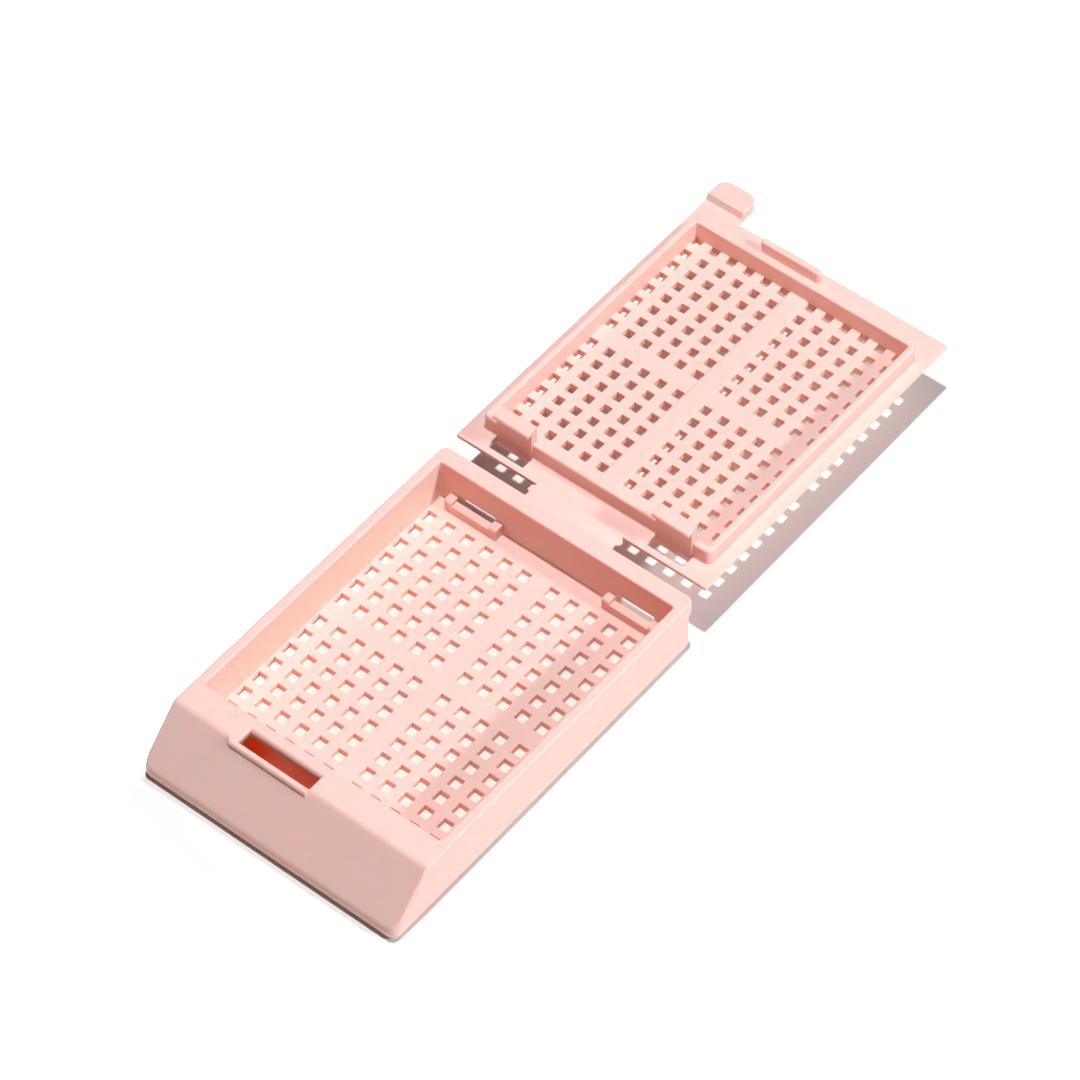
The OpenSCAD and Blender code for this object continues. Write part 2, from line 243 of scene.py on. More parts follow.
# The hinge strap: its ends are part of the tray and the lid, and its middle, where the real hinge bends, is
# a piece of its own
strap = {
    "halfWidth": 4.98,           # beside the bulge
    "bulge": 5.28,               # half width where the material is squeezed out beside the fold
    "bulgeStart": 2.28,
    "bulgeFull": 2.52,
    "bulgeFade": 3.02,
    "bulgeEnd": 3.3,
    "thick": 0.45,
    "thin": 0.26,                # at the fold
    "thinEnd": 1.5,              # where the thinning ends, in half lengths of the film
    "round": 0.13,               # radius of its long edges
    "roundShare": 0.45,          # and the most of the thickness that it may take
    "roundSteps": 4,
    "fromTray": 2.08,            # the middle piece runs from here
    "toLid": 3.16,               # to here
    "gap": 0.003,                # between it and the fixed ends
    "rooted": 0.5,               # how far the fixed ends run into the tray and the lid
    "stations": 28,              # outlines along the bending piece
    "trayStations": 3,
    "lidStations": 5,
}


def smoothStep(t):
    # 0 to 1 with a soft start and end
    t = min(1, max(0, t))
    return t * t * (3 - 2 * t)


def strapRing(y):
    # The strap's section: wider beside the fold, and thinner at it
    rise = smoothStep((y - strap["bulgeStart"]) / (strap["bulgeFull"] - strap["bulgeStart"]))
    fall = smoothStep((strap["bulgeEnd"] - y) / (strap["bulgeEnd"] - strap["bulgeFade"]))
    half = strap["halfWidth"] + (strap["bulge"] - strap["halfWidth"]) * rise * fall
    foldMiddle = (filmLow.y + filmHigh.y) / 2 - rearWallY
    foldHalf = (filmHigh.y - filmLow.y) / 2
    fold = smoothStep(strap["thinEnd"] - abs(y - foldMiddle) / foldHalf)
    thickness = strap["thick"] + (strap["thin"] - strap["thick"]) * fold
    top = rim - shared["flush"]
    radius = min(strap["round"], thickness * strap["roundShare"])
    outline = ring(-half, half, top - thickness, top, radius, 0, strap["roundSteps"])
    return [(x, y, z) for x, z, _ in outline]


def strapStretch(y0, y1, stations):
    return loft([strapRing(y0 + (y1 - y0) * k / stations) for k in range(stations + 1)])


tray = {
    "half": trayHigh.x,          # half its width
    "front": trayLow.y - rearWallY,
    "rearWall": 0.95,
    "rimUnder": rim - 1.5,       # underside of the rear rim
    "stepRound": 0.12,           # edges of the step under the rear rim
    "sideWall": 1.01,
    "chamber": 32.508,           # length of the chamber
    "chamberRound": 0.22,        # its upright corners
    "corner": 0.8,               # upright outer corners
    "cornerFade": 1.6,           # height over which they run out into the writing face's slimmer edges
    "faceAngle": 45.9,           # degrees from level
    "faceLevels": (1.9, 2.15, 2.4, 2.65, 3.4),   # heights of the outlines along it
    "frontLip": 1.4,             # height of the upright stretch under the writing face
    "faceRound": 1.0,            # bends below and above the writing face
    "faceWall": 0.95,
    "ledgeDepth": 2.91,
    "ledgeWall": 0.85,
    "frontWall": 0.9,            # between the chamber and the hollow behind the writing face
    "floorTop": 1.35,
    "floorUnder": 0.7,
    "underRound": 0.3,           # upright corners of the hollow under the floor
    "rimRound": 0.22,            # outer edge of the rim
    "mouthRound": 0.2,           # inner edge of the rim
    "footRound": 0.65,
    "fillet": 0.15,
    "footSteps": 4,              # outlines in the foot's rounding and in the two bends
    "lowBendSteps": 6,
    "topBendSteps": 10,
    "seekStep": 0.002,           # steps in which the end of an outline's front corner is looked for
    "seekEnd": 1.5,              # and how far at most
    "seekSlack": 1e-5,
}
floor = {
    "holeX": 1.1,
    "holeY": 1.2,
    "pitchX": 2.213,
    "pitchY": 2.0565,
    "ribX": 2.134,               # width of the rib between the left and right holes
    "ribY": 1.93,                # width of the cross rib
    "ribSet": 0.285,             # cross rib's distance in front of the chamber's middle
    "columns": 6,                # on each side
    "rows": 7,                   # in each panel
    "soft": 0.09,
}
slot = {
    "left": -7.0,
    "right": 1.1,
    "rear": -33.818,
    "rearRound": 0.5,
    "endRound": 0.18,
    "roundSteps": 8,
    "corner": 0.1,
    "cornerSteps": 3,
    "below": 0.6,                # the cutter's foot, under the ledge's wall
    "lip": 0.6,                  # how far the lip stands out of the writing face
    "lipEnd": 1.1,               # the lip's left end, beyond the slot
    "lipSwell": 0.6,             # length over which it swells there
    "lipSteps": 8,
    "lipLeast": 0.02,            # its first reach, where the swelling starts
    "lipRound": 0.26,
    "lipRoundShare": 0.6,        # the most of its reach that the rounding may take
    "lipLean": 0.35,             # how far its foot leans back, as a share of its reach
    "lipDrop": 1.5,              # how far down it runs, as a share of the face's fall over its reach
    "lipSink": 0.3,              # and further by this
}
gate = {
    "place": (-9.6, -33.5),
    "radius": 0.8,
    "depth": 0.1,
    "rings": (0.25, 0.5, 0.7, 0.85, 1),   # outlines of the dish, as shares of its radius
    "cornerSteps": 6,
    "spread": 1.05,              # the cutter's top, as a share of the radius
    "above": 0.02,
}
pocket = {
    "place": 9.15,               # left and right of the middle
    "width": 4.3,                # between its posts
    "post": 0.9,
    "bar": 0.85,
    "depth": 0.25,               # from the rear wall to the bar
    "barTop": 2.35,
    "barEnd": 0.1,               # how far the bar's ends lie inside the posts' outer sides
    "postTop": 2.7,
    "postRound": 0.28,           # their upper front edge
    "postRoundSteps": 4,
    "near": 0.01,                # slack in picking that edge
    "postSoft": 0.09,            # their other edges
    "sunk": 0.3,                 # how far bar and posts run into the floor
    "soft": 0.1,                 # the bar's edges
    "windowTop": 2.95,
    "windowRear": 3,             # the cutter's rear end, behind the tray
    "windowSoft": 0.08,
}
ledgeFront = -tray["chamber"] - tray["ledgeDepth"]
slope = math.radians(tray["faceAngle"])
bend = tray["faceRound"]
lowBend = (tray["front"] + bend, tray["frontLip"] - bend * math.tan(math.radians(45) - slope / 2))
topBend = (ledgeFront + bend * math.tan(slope / 2), rim - bend)


def faceY(z):
    # Front of the tray at a height: lip, bend, writing face, bend
    if z <= lowBend[1]:
        return tray["front"]
    if z < lowBend[1] + bend * math.cos(slope):
        return lowBend[0] - math.sqrt(bend ** 2 - (z - lowBend[1]) ** 2)
    if z < topBend[1] + bend * math.cos(slope):
        return tray["front"] + (z - tray["frontLip"]) / math.tan(slope)
    return topBend[0] - math.sqrt(max(0, bend ** 2 - (z - topBend[1]) ** 2))


def faceDepth(y, z):
    # Distance of a point inside the tray from its front and top, in the side view
    upright, slanted = math.pi / 2, math.pi / 2 + slope
    for (cy, cz), start, end in ((lowBend, slanted, math.pi), (topBend, upright, slanted)):
        if start <= math.atan2(z - cz, y - cy) <= end:
            return bend - math.hypot(y - cy, z - cz)
    behindFace = (y - tray["front"] - (z - tray["frontLip"]) / math.tan(slope)) * math.sin(slope)
    return min(y - tray["front"], behindFace, rim - z)


def sideRound(z):
    # The upright corners' radius runs out into the slimmer one along the writing face
    fade = smoothStep((z - lowBend[1]) / tray["cornerFade"])
    return tray["corner"] + (tray["rimRound"] - tray["corner"]) * fade


def cornerEnd(z, radius):
    # How far back the rounding of a front corner reaches at a height
    start = faceY(z)
    full = min(radius, rim - z) - tray["seekSlack"]
    y = start
    while faceDepth(y, z) < full and y < start + tray["seekEnd"]:
        y += tray["seekStep"]
    return y


def trayRing(z):
    # The tray's outline at a height: its right half from front to rear, and the mirror image
    foot, top, r = tray["footRound"], tray["rimRound"], tray["corner"]
    inset = foot - math.sqrt(foot ** 2 - (foot - z) ** 2) if z < foot else 0
    if z > rim - top:
        inset = top - math.sqrt(max(0, top ** 2 - (z - rim + top) ** 2))
    radius = sideRound(z)
    front, reach = faceY(z), cornerEnd(z, radius)
    turns = quarterTurns(2 * shared["cornerSteps"])
    points = []
    for turn in turns:
        if z < lowBend[1]:
            x = tray["half"] - r + (r - inset) * math.sin(turn)
            y = tray["front"] + r - (r - inset) * math.cos(turn)
        else:
            y = front + (reach - front) * (1 - math.cos(turn))
            depth = min(radius, max(0, faceDepth(y, z)))
            x = tray["half"] - radius + math.sqrt(radius ** 2 - (radius - depth) ** 2)
        points.append((x, y, z))
    for turn in turns:
        x = tray["half"] - r + (r - inset) * math.cos(turn)
        y = shared["rimDepth"] - r + (r - inset) * math.sin(turn)
        points.append((x, y, z))
    return points + [(-x, y, z) for x, y, z in reversed(points)]


def trayBody():
    # The whole outer form, from the rounded foot to the rim
    lowSteps, topSteps = tray["lowBendSteps"], tray["topBendSteps"]
    levels = [tray["footRound"] * (1 - math.cos(t)) for t in quarterTurns(tray["footSteps"])]
    for k in range(lowSteps + 1):
        levels.append(lowBend[1] + bend * math.sin((math.pi / 2 - slope) * k / lowSteps))
    levels += tray["faceLevels"]
    for k in range(topSteps + 1):
        levels.append(topBend[1] + bend * math.cos(slope * (1 - k / topSteps)))
    return loft([trayRing(z) for z in levels])


def wedgeHollow():
    # Cutter for the hollow behind the writing face, open below
    top = rim - tray["ledgeWall"]
    faceRun = tray["faceWall"] / math.sin(slope)
    lipIn = tray["front"] + tray["faceWall"]
    lipInZ = tray["frontLip"] - (faceRun - tray["faceWall"]) * math.tan(slope)
    rear = -tray["chamber"] - tray["frontWall"]
    topFront = ledgeFront + faceRun - tray["ledgeWall"] / math.tan(slope)
    inside = tray["half"] - tray["sideWall"]
    foot = -shared["over"]
    profile = [(rear, foot), (lipIn, foot), (lipIn, lipInZ), (topFront, top), (rear, top)]
    cutter = prism(profile, -inside, inside)
    return soften(cutter, tray["fillet"], lambda e: any(v.co.z > 0 for v in e.verts))


def floorHoles():
    parts = []
    halfX, halfY = floor["holeX"] / 2, floor["holeY"] / 2
    ribY = -tray["chamber"] / 2 - floor["ribSet"]
    for side in (-1, 1):
        for c in range(floor["columns"]):
            x = side * (floor["ribX"] / 2 + c * floor["pitchX"] + halfX)
            for way in (-1, 1):
                for r in range(floor["rows"]):
                    y = ribY + way * (floor["ribY"] / 2 + r * floor["pitchY"] + halfY)
                    parts.append(hole(x - halfX, x + halfX, y - halfY, y + halfY,
                                      tray["floorUnder"], tray["floorTop"], floor["soft"]))
    return joined(parts)


def latchSlot():
    # The slot's rear edge is much softer than its ends and its lip
    rings = []
    deep, end = slot["rearRound"], slot["endRound"]
    heights = [0] + [deep * math.sin(t) for t in quarterTurns(slot["roundSteps"])]
    for k, h in enumerate(heights):
        z = rim - deep + h if k else rim - tray["ledgeWall"] - slot["below"]
        rear = deep - math.sqrt(max(0, deep ** 2 - h ** 2))
        up = max(0, h - deep + end)
        side = end - math.sqrt(max(0, end ** 2 - up ** 2))
        rings.append(ring(slot["left"] - side, slot["right"] + side, ledgeFront - side, slot["rear"] + rear,
                          slot["corner"] + side, z, slot["cornerSteps"]))
    rings.append([(x, y, rim + shared["over"]) for x, y, _ in rings[-1]])
    return loft(rings)


def latchLip():
    # A rounded lip in front of the slot, which swells out of the writing face at its left end
    back = ledgeFront + tray["faceWall"] / 2
    top = rim - shared["flush"]
    start = slot["left"] - slot["lipEnd"]
    steps = slot["lipSteps"]
    rings = []
    for k in range(steps + 1):
        reach = max(slot["lipLeast"], slot["lip"] * math.sqrt(smoothStep(k / steps)))
        front = ledgeFront - reach
        radius = min(slot["lipRound"], reach * slot["lipRoundShare"])
        low = rim - slot["lipDrop"] * reach * math.tan(slope) - slot["lipSink"]
        profile = [(front + slot["lipLean"] * reach, low), (back, low), (back, top)]
        profile += arcPoints(front + radius, top - radius, radius, 90, 180, shared["edgeSteps"])
        rings.append([(start + slot["lipSwell"] * k / steps, y, z) for y, z in profile])
    rings.append([(slot["right"], y, z) for _, y, z in rings[-1]])
    return loft(rings)


def gateMark():
    # Shallow round dish in the ledge, where the melt came in
    x, y = gate["place"]
    levels = [(gate["radius"] * t, rim - gate["depth"] * (1 - t * t)) for t in gate["rings"]]
    levels.append((gate["radius"] * gate["spread"], rim + gate["above"]))
    return loft([ring(x - r, x + r, y - r, y + r, r, z, gate["cornerSteps"]) for r, z in levels])


def pocketPosts(side):
    # The bar in front of a hook pocket, and the post at each of its ends
    middle, halfPost = side * pocket["place"], pocket["post"] / 2
    front, low = -pocket["depth"] - pocket["bar"], tray["floorTop"] - pocket["sunk"]
    barHalf = pocket["width"] / 2 + pocket["post"] - pocket["barEnd"]
    rail = box(middle - barHalf, middle + barHalf, front, -pocket["depth"], low, pocket["barTop"])
    steps = [("UNION", soften(rail, pocket["soft"]))]

    def upperFront(edge):
        return all(v.co.z > pocket["postTop"] - pocket["near"] and v.co.y < front + pocket["near"]
                   for v in edge.verts)

    for end in (-1, 1):
        x = middle + end * (pocket["width"] + pocket["post"]) / 2
        post = box(x - halfPost, x + halfPost, front, tray["rearWall"] / 2, low, pocket["postTop"])
        soften(post, pocket["postRound"], upperFront, pocket["postRoundSteps"])
        steps.append(("UNION", soften(post, pocket["postSoft"])))
    return steps


def pocketWindow(side):
    # Cutter that opens a pocket through the floor and the rear wall
    half = pocket["width"] / 2
    middle = side * pocket["place"]
    window = box(middle - half, middle + half, -pocket["depth"], pocket["windowRear"], -shared["over"],
                 pocket["windowTop"])
    return soften(window, pocket["windowSoft"], lambda e: all(v.co.z > 0 for v in e.verts), 2)


def rearStep():
    # Cuts away what lies behind the rear wall under the rim
    wall, z, soft, steps = tray["rearWall"], tray["rimUnder"], tray["stepRound"], shared["edgeSteps"]
    rear = shared["rimDepth"] + shared["over"]
    profile = [(wall, -shared["over"]), (wall, z - soft)]
    profile += arcPoints(wall + soft, z - soft, soft, 180, 90, steps)[1:]
    profile += arcPoints(shared["rimDepth"] - soft, z + soft, soft, -90, 0, steps)
    profile += [(rear, z + soft), (rear, -shared["over"])]
    return prism(profile, -shared["across"], shared["across"])


def makeTray():
    inside = tray["half"] - tray["sideWall"]
    chamber = well(-inside, inside, -tray["chamber"], 0, tray["floorTop"], rim, tray["chamberRound"],
                   tray["mouthRound"], tray["fillet"])
    under = block(-inside, inside, -tray["chamber"], 0, -shared["over"], tray["floorUnder"],
                  tray["underRound"], tray["fillet"], 0)
    steps = [("DIFFERENCE", rearStep()), ("DIFFERENCE", chamber), ("DIFFERENCE", under),
             ("DIFFERENCE", wedgeHollow()), ("UNION", latchLip()), ("DIFFERENCE", latchSlot()),
             ("DIFFERENCE", floorHoles()), ("DIFFERENCE", gateMark())]
    for side in (-1, 1):
        steps += pocketPosts(side)
        steps.append(("DIFFERENCE", pocketWindow(side)))
    near, far = shared["rimDepth"] - strap["rooted"], strap["fromTray"] - strap["gap"]
    steps.append(("UNION", strapStretch(near, far, strap["trayStations"])))
    return shade(place(carve("tray", trayBody(), steps)))


trayPiece = makeTray()
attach(trayPiece, "base")
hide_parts("base_tray")
print("tray made", len(trayPiece.data.polygons), "faces")


lid = {
    "half": lidHigh.x,           # half the flange's width
    "near": 3.41,                # the flange's end at the hinge
    "far": 40.178,
    "corner": 0.14,
    "flangeUnder": rim - 0.45,
    "panelUnder": rim - 0.95,
    "gridTop": rim - 0.13,
    "frameTop": rim + 1.75,
    "frameHalf": 13.08,
    "frameNear": 5.6,
    "frameFar": 37.13,
    "wall": 0.91,
    "farWall": 0.68,
    "opening": (5, 7),           # heights of the cutter that clears the flange inside the frame
    "draft": 0.18,               # the frame's inner faces lean out by this towards the top
    "frameCorner": 0.65,
    "frameRound": 0.25,          # outer edge of its top
    "frameInner": 0.2,           # inner edge of its top
    "frameFoot": 0.14,           # fillet round its foot
    "footFrom": 0.05,            # the fillet's lower end leaves the wall here under the flange's top
    "footFull": 0.02,            # and is full here
    "wellFoot": 0.06,            # fillet round the panel
    "wellCorner": 0.12,
    "cornerShare": 0.5,          # of the lean, by which the well's corners grow
    "edge": 0.13,
    "underEdge": 0.08,
    "ribHalf": 0.95,             # half width of the rib down the middle
    "ribRound": 0.08,
    "ribNear": 0.4,              # how far its ends run into the frame's walls
    "ribFar": 0.3,
    "ribUp": 0.2,                # from the panel's underside to the rib's
}
grid = {
    "hole": 0.94,
    "pitchX": 2.014,
    "pitchY": 1.868,
    "ribX": 2.28,
    "ribY": 2.05,
    "columns": 6,                # on each side
    "rows": 8,                   # in each panel
    "soft": 0.08,
    "byWall": 0.05,              # a side this near to the frame's inner face is cut straight
}
hook = {
    "width": 4.1,
    "reach": 0.83,               # how far its head stands out of the frame
    "catch": rim + 3.3,          # underside of its head
    "tip": 0.4,                  # height of the head's front
    "tipRound": 0.27,
    "head": 0.5,                 # height of the head at its back
    "blade": 0.6,                # how far it runs into the frame's wall
    "proud": 0.22,               # how far its blade stands out of the frame
    "footUp": 0.02,              # from the panel's underside to the blade's
    "edge": 0.045,
    "land": 0.69,                # flange between the lid's edge and the slot
    "gap": 1.35,                 # slot, front to back
    "deep": 1.5,                 # the slot's cutter, from the flange's top down
    "slotCorner": 0.08,
    "soft": 0.07,                # the slot's upper edge
}
latchBar = {
    "left": -6.4,
    "right": 0.5,
    "near": 38.758,
    "thick": 0.75,
    "corner": 0.365,
    "top": rim + 1.3,
    "round": 0.24,
    "sunk": 0.2,
}
tab = {
    "width": 4.3,
    "rooted": 1.4,               # how far it runs into the flange
    "end": lidHigh.y - rearWallY,
    "foot": 40.79,               # where its ramp starts
    "ramp": 0.3,                 # the ramp's run
    "rampFrom": 30,              # near end of the cutter over the ramp
    "top": rim + 0.7,
    "corner": 1.2,
    "cornerSteps": 8,
    "round": 0.22,
    "stepRound": 0.16,
}


def frameBody():
    # Runs down to the panel's underside and swells to a fillet where it leaves the flange
    half, near, far = lid["frameHalf"], lid["frameNear"], lid["frameFar"]
    levels = [(lid["panelUnder"] + lid["underEdge"] - h, i) for h, i in quarter(lid["underEdge"])][::-1]
    foot = lid["frameFoot"]
    levels += [(rim - lid["footFrom"], 0), (rim - lid["footFull"], -foot)]
    levels += [(rim + foot - h, -i) for h, i in quarter(foot)][::-1]
    levels += [(lid["frameTop"] - lid["frameRound"] + h, i) for h, i in quarter(lid["frameRound"])]
    return loft([ring(-half + i, half - i, near + i, far - i, lid["frameCorner"] - i, z) for z, i in levels])


def panelArea():
    # Half width, near end and far end of the space inside the frame
    return lid["frameHalf"] - lid["wall"], lid["frameNear"] + lid["wall"], lid["frameFar"] - lid["farWall"]


def frameWell():
    # Cutter for the space inside the frame, down to the panel's holed part
    half, near, far = panelArea()
    soft, top, foot = lid["frameInner"], lid["frameTop"], lid["wellFoot"]
    levels = [(lid["gridTop"] + foot - h, i) for h, i in quarter(foot)][::-1]
    levels += [(top - soft + h, -lid["draft"] - i) for h, i in quarter(soft)]
    levels.append((top + shared["over"], -lid["draft"] - soft))
    return loft([ring(-half + i, half - i, near + i, far - i,
                      lid["wellCorner"] - min(0, i) * lid["cornerShare"], z) for z, i in levels])


def lidHoles():
    # The outermost holes end at the frame's walls
    parts = []
    half, near, far = panelArea()
    middle, close = (near + far) / 2, grid["byWall"]
    for side in (-1, 1):
        for c in range(grid["columns"]):
            inner = grid["ribX"] / 2 + c * grid["pitchX"]
            outer = min(inner + grid["hole"], half)
            x0, x1 = sorted((side * inner, side * outer))
            for way in (-1, 1):
                for r in range(grid["rows"]):
                    start = middle + way * (grid["ribY"] / 2 + r * grid["pitchY"])
                    y0, y1 = sorted((start, start + way * grid["hole"]))
                    y0, y1 = max(y0, near), min(y1, far)
                    hard = (x0 < -half + close, x1 > half - close, y0 < near + close, y1 > far - close)
                    parts.append(hole(x0, x1, y0, y1, lid["panelUnder"], lid["gridTop"], grid["soft"], hard))
    return joined(parts)


def middleRib():
    near, far = lid["frameNear"] + lid["ribNear"], lid["frameFar"] - lid["ribFar"]
    rib = box(-lid["ribHalf"], lid["ribHalf"], near, far, lid["panelUnder"] + lid["ribUp"], rim)
    return soften(rib, lid["ribRound"])


def flangeSlot(side):
    # Cutter for the slot in front of a hook
    middle, half = side * pocket["place"], hook["width"] / 2
    near = lid["near"] + hook["land"]
    return well(middle - half, middle + half, near, near + hook["gap"], rim - hook["deep"], rim,
                hook["slotCorner"], hook["soft"], 0)


def makeHook(side):
    # A blade on the frame's near wall, with a head that reaches forwards
    middle, half, r = side * pocket["place"], hook["width"] / 2, hook["tipRound"]
    face, foot = lid["frameNear"] - hook["proud"], lid["panelUnder"] + hook["footUp"]
    front, back = lid["frameNear"] - hook["reach"], lid["frameNear"] + hook["blade"]
    tip, head = hook["catch"] + hook["tip"], hook["catch"] + hook["head"]
    profile = [(face, foot), (back, foot), (back, head), (lid["frameNear"] + hook["blade"] / 2, head)]
    profile += arcPoints(front + r, tip - r, r, 90, 180)
    profile += [(front, hook["catch"]), (face, hook["catch"])]
    return soften(prism(profile, middle - half, middle + half), hook["edge"], lambda e: e.is_convex)


def makeLatchBar():
    near, low = latchBar["near"], rim - latchBar["sunk"]
    return block(latchBar["left"], latchBar["right"], near, near + latchBar["thick"], low, latchBar["top"],
                 latchBar["corner"], latchBar["round"], 0)


def makeTab():
    # A thick tab with round corners, cut down to the flange's height up to its ramp
    left, right = -lid["half"], -lid["half"] + tab["width"]
    near, far = lid["far"] - tab["rooted"], tab["end"]
    soft, under, r, steps = tab["round"], lid["underEdge"], tab["stepRound"], shared["edgeSteps"]
    levels = [(lid["flangeUnder"] + under - h, i) for h, i in quarter(under)][::-1]
    levels += [(tab["top"] - soft + h, i) for h, i in quarter(soft)]
    body = loft([ring(left + i, right - i, near + i, far - i, tab["corner"] - i, z, tab["cornerSteps"])
                 for z, i in levels])
    rise = math.atan2(tab["top"] - rim, tab["ramp"])
    turn = math.degrees(rise)
    reach = r * math.tan(rise / 2)
    low, high = rim - shared["flush"], tab["top"]
    rampEnd = tab["foot"] + tab["ramp"] + reach
    profile = [(tab["rampFrom"], low)]
    profile += arcPoints(tab["foot"] - reach, low + r, r, -90, -90 + turn, steps)
    profile += arcPoints(rampEnd, high - r, r, 90 + turn, 90, steps)
    profile += [(rampEnd, high + shared["over"]), (tab["rampFrom"], high + shared["over"])]
    piece = carve("tab", body, [("DIFFERENCE", prism(profile, -shared["across"], 0))])
    solid = bmesh.new()
    solid.from_mesh(piece.data)
    bpy.data.objects.remove(piece)
    return solid


def makeLid():
    flange = block(-lid["half"], lid["half"], lid["near"], lid["far"], lid["flangeUnder"], rim,
                   lid["corner"], lid["edge"], lid["underEdge"])
    tabSolid = makeTab()
    inner = lid["frameHalf"] - lid["wall"] / 2
    opening = box(-inner, inner, lid["frameNear"] + lid["wall"] / 2, lid["frameFar"] - lid["farWall"] / 2,
                  *lid["opening"])
    steps = [("DIFFERENCE", opening), ("UNION", frameBody()), ("DIFFERENCE", frameWell()),
             ("DIFFERENCE", lidHoles()), ("UNION", middleRib()), ("UNION", tabSolid)]
    steps += [("DIFFERENCE", flangeSlot(side)) for side in (-1, 1)]
    steps += [("UNION", makeHook(side)) for side in (-1, 1)]
    steps.append(("UNION", makeLatchBar()))
    near, far = strap["toLid"] + strap["gap"], lid["near"] + strap["rooted"]
    steps.append(("UNION", strapStretch(near, far, strap["lidStations"])))
    return shade(place(carve("lid_shell", flange, steps)))


lidPiece = makeLid()
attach(lidPiece, "lid")
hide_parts("lid")
print("lid made", len(lidPiece.data.polygons), "faces")


def makeStrap():
    solid = strapStretch(strap["fromTray"], strap["toLid"], strap["stations"])
    return shade(place(asObject("hinge_strap", solid)))


strapPiece = makeStrap()
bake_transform(strapPiece)
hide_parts("hinge_film")
print("strap made")


def groupWith(name, inputs, outputs):
    # A new node group with its sockets, and its input and output nodes
    group = bpy.data.node_groups.new(name, "ShaderNodeTree")
    for way, sockets in (("INPUT", inputs), ("OUTPUT", outputs)):
        for label, kind in sockets:
            group.interface.new_socket(label, in_out=way, socket_type=kind)
    return group, group.nodes.new("NodeGroupInput"), group.nodes.new("NodeGroupOutput")


def mathNode(tree, operation, a, b, clamp=False):
    # Each value is a number or another node's output
    node = tree.nodes.new("ShaderNodeMath")
    node.operation = operation
    node.use_clamp = clamp
    for socket, value in zip(node.inputs, (a, b)):
        if isinstance(value, (int, float)):
            socket.default_value = value
        else:
            tree.links.new(value, socket)
    return node.outputs[0]


def noiseNode(tree, vector, scale, detail, roughness=0.5):
    node = tree.nodes.new("ShaderNodeTexNoise")
    node.inputs["Detail"].default_value = detail
    node.inputs["Roughness"].default_value = roughness
    tree.links.new(vector, node.inputs["Vector"])
    tree.links.new(scale, node.inputs["Scale"])
    return node.outputs["Fac"]


def makeFlowTint():
    # Slow cloudy change of tint, as the melt left it
    group, source, result = groupWith("flowTint", [
        ("Vector", "NodeSocketVector"), ("Base", "NodeSocketColor"), ("Tint", "NodeSocketColor"),
        ("Scale", "NodeSocketFloat"), ("Amount", "NodeSocketFloat"),
    ], [("Color", "NodeSocketColor")])
    cloud = noiseNode(group, source.outputs["Vector"], source.outputs["Scale"], 3)
    share = mathNode(group, "MULTIPLY", cloud, source.outputs["Amount"], clamp=True)
    mix = group.nodes.new("ShaderNodeMix")
    mix.data_type = "RGBA"
    group.links.new(share, mix.inputs["Factor"])
    group.links.new(source.outputs["Base"], mix.inputs["A"])
    group.links.new(source.outputs["Tint"], mix.inputs["B"])
    group.links.new(mix.outputs["Result"], result.inputs["Color"])
    return group


def makeMouldGrain():
    # Fine spark-eroded grain and the long soft waves of the mould's faces
    group, source, result = groupWith("mouldGrain", [
        ("Vector", "NodeSocketVector"), ("Grain", "NodeSocketFloat"), ("Grain Depth", "NodeSocketFloat"),
        ("Wave", "NodeSocketFloat"), ("Rough Low", "NodeSocketFloat"), ("Rough High", "NodeSocketFloat"),
    ], [("Height", "NodeSocketFloat"), ("Roughness", "NodeSocketFloat")])
    fine = noiseNode(group, source.outputs["Vector"], source.outputs["Grain"], 2, 0.6)
    slow = noiseNode(group, source.outputs["Vector"], source.outputs["Wave"], 2)
    height = mathNode(group, "ADD", mathNode(group, "MULTIPLY", fine, source.outputs["Grain Depth"]), slow)
    span = mathNode(group, "SUBTRACT", source.outputs["Rough High"], source.outputs["Rough Low"])
    rough = mathNode(group, "ADD", source.outputs["Rough Low"], mathNode(group, "MULTIPLY", slow, span))
    group.links.new(height, result.inputs["Height"])
    group.links.new(rough, result.inputs["Roughness"])
    return group


flowTint = makeFlowTint()
mouldGrain = makeMouldGrain()

acetal = {
    "body": (0.985, 0.63, 0.58),
    "wall": (0.985, 0.6, 0.5),       # painted shade: upright walls turned from the light get a warmer, darker copy of the colour
    "hole": (0.985, 0.52, 0.4),      # painted shade: the walls of the small holes get a darker, warmer colour too
    "side": (0.985, 0.7, 0.62),      # painted light: the tray's inner side walls get a paler colour, as if more strongly lit
    "hollow": (0.995, 0.33, 0.09),   # painted shade: the faces in the hollow behind the writing face get a deep red colour, which stands in for the red light trapped there
    "tintShift": (1, 0.95, 0.945),   # the clouds' colour, as a share of the finish's own
    "tintScale": 160,                # clouds a metre
    "tintAmount": 0.35,
    "grain": 9000,                   # grains a metre
    "grainDepth": 0.35,              # as a share of the waves' depth
    "wave": 300,                     # waves a metre
    "roughLow": 0.38,
    "roughHigh": 0.5,
    "bump": 0.006 * mm,
    "gloss": 1.48,                   # index of refraction
    "reach": 0.1 * mm,               # how far green light travels inside
    "blueReach": 0.85,               # blue travels less far
    "redReach": 2.6,                 # red travels this many times further
    "wallReach": 14,                 # in the upright walls, which pass it on from side to side
    "hollowReach": 45,               # in the hollow behind the writing face
}


